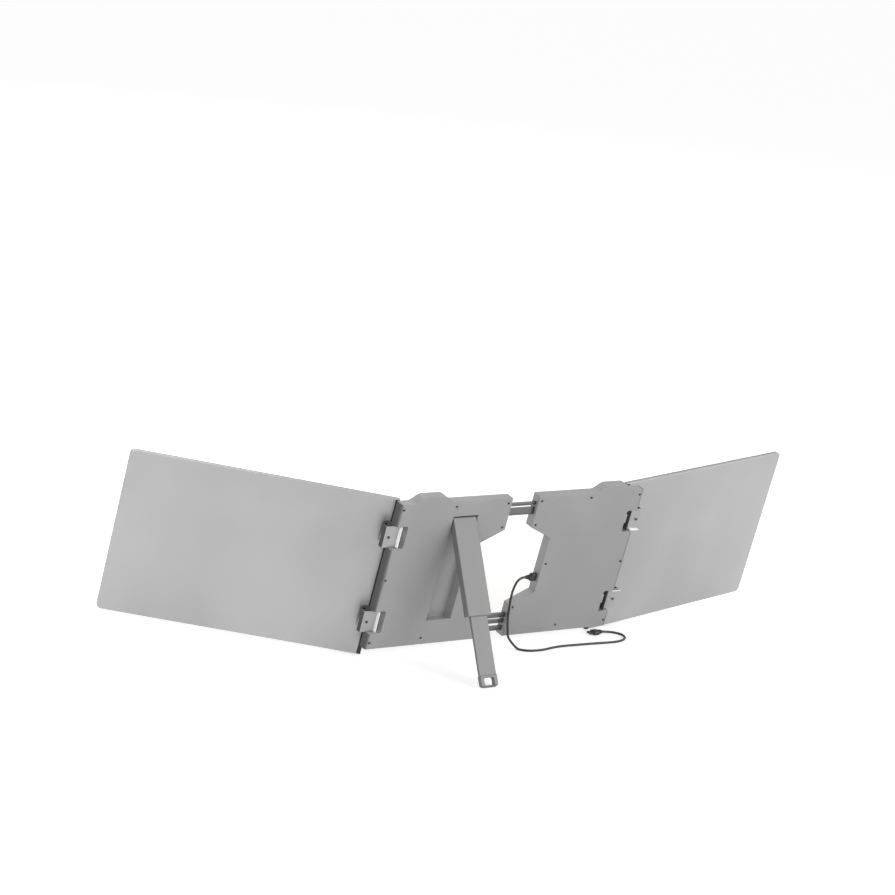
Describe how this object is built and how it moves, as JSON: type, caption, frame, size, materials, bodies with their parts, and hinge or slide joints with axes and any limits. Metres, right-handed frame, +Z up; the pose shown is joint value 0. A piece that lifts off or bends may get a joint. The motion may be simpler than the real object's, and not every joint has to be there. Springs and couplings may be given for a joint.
{
  "type": "laptop screen extender",
  "caption": "Thin side screens hinged to a laptop-lid frame whose halves slide apart, with a telescoping kickstand, swing-out side clips and a USB-C cable.",
  "frame": {"origin": "middle of the box around the part without its cable, at the level it stands on", "axes": "+X towards the right-hand screen as seen from the front, +Z up, screens face -Y"},
  "size_m": [0.9548, 0.3022, 0.2325],
  "materials": {
    "screen_paint": "satin silver paint",
    "frame_paint": "satin grey paint",
    "frame_light": "satin silver paint",
    "bezel_paint": "satin silver",
    "screen_glass": "semi-gloss display with a picture",
    "light_guide": "matte",
    "circuit_board": "solder mask",
    "soft_pad": "matte",
    "guide_plastic": "matte",
    "cable_plastic": "satin black",
    "screw_steel": "blackened steel",
    "steel": "plain steel"
  },
  "bodies": {
    "left_half": {"left_tray": "frame_paint", "left_back": "frame_paint", "left_pads": "soft_pad", "left_screws": "screw_steel", "left_guides": "guide_plastic", "left_board": "circuit_board", "port_shell": "steel", "left_bracket_upper": "frame_light", "left_bracket_lower": "frame_light", "left_hinge_pins": "steel", "left_clip_pins": "steel", "cord": "cable_plastic", "near_plug": "cable_plastic", "far_plug": "cable_plastic"},
    "right_half": {"right_tray": "frame_paint", "right_back": "frame_paint", "right_pads": "soft_pad", "right_screws": "screw_steel", "right_rail_mounts": "guide_plastic", "top_rails": "steel", "bottom_rails": "steel", "right_board": "circuit_board", "right_bracket_upper": "frame_light", "right_bracket_lower": "frame_light", "right_hinge_pins": "steel", "right_clip_pins": "steel", "leg_pin": "steel"},
    "right_screen": {"right_cover": "screen_paint", "right_bezel": "bezel_paint", "right_display": "screen_glass", "right_backlight": "light_guide", "right_driver": "circuit_board", "right_leaf_upper": "steel", "right_leaf_lower": "steel", "right_leaf_screws": "screw_steel"},
    "left_screen": {"left_cover": "screen_paint", "left_bezel": "bezel_paint", "left_display": "screen_glass", "left_backlight": "light_guide", "left_driver": "circuit_board", "left_leaf_upper": "steel", "left_leaf_lower": "steel", "left_leaf_screws": "screw_steel"},
    "leg": {"leg": "frame_paint"},
    "leg_extension": {"leg_bar": "frame_paint"},
    "right_clip_upper": {"right_clip_upper": "frame_light"},
    "right_clip_lower": {"right_clip_lower": "frame_light"},
    "left_clip_upper": {"left_clip_upper": "frame_light"},
    "left_clip_lower": {"left_clip_lower": "frame_light"}
  },
  "joints": [
    {"name": "width_slide", "type": "slide", "parent": "left_half", "child": "right_half", "axis": [1, 0, 0], "range_m": [-0.022, 0.03]},
    {"name": "right_screen_hinge", "type": "hinge", "parent": "right_half", "child": "right_screen", "pos_m": [0.19414, 0.02909, 0.11283], "axis": [0, 0.1564, 0.9877], "range_deg": [-150, 35]},
    {"name": "left_screen_hinge", "type": "hinge", "parent": "left_half", "child": "left_screen", "pos_m": [-0.15686, 0.02316, 0.11377], "axis": [0, -0.1564, -0.9877], "range_deg": [-169.5, 15.5]},
    {"name": "kickstand_hinge", "type": "hinge", "parent": "right_half", "child": "leg", "pos_m": [0.10589, 0.05239, 0.17976], "axis": [1, 0, 0], "range_deg": [-34.23, 20]},
    {"name": "leg_slide", "type": "slide", "parent": "leg", "child": "leg_extension", "axis": [0, 0.4761, -0.8794], "range_m": [-0.07, 0]},
    {"name": "right_clip_upper_hinge", "type": "hinge", "parent": "right_half", "child": "right_clip_upper", "pos_m": [0.19044, 0.03981, 0.13543], "axis": [0, 0.1564, 0.9877], "range_deg": [0, 90]},
    {"name": "right_clip_lower_hinge", "type": "hinge", "parent": "right_half", "child": "right_clip_lower", "pos_m": [0.19044, 0.02257, 0.02664], "axis": [0, 0.1564, 0.9877], "range_deg": [0, 90]},
    {"name": "left_clip_upper_hinge", "type": "hinge", "parent": "left_half", "child": "left_clip_upper", "pos_m": [-0.15316, 0.03981, 0.13543], "axis": [0, -0.1564, -0.9877], "range_deg": [0, 90]},
    {"name": "left_clip_lower_hinge", "type": "hinge", "parent": "left_half", "child": "left_clip_lower", "pos_m": [-0.15316, 0.02257, 0.02664], "axis": [0, -0.1564, -0.9877], "range_deg": [0, 90]}
  ]
}
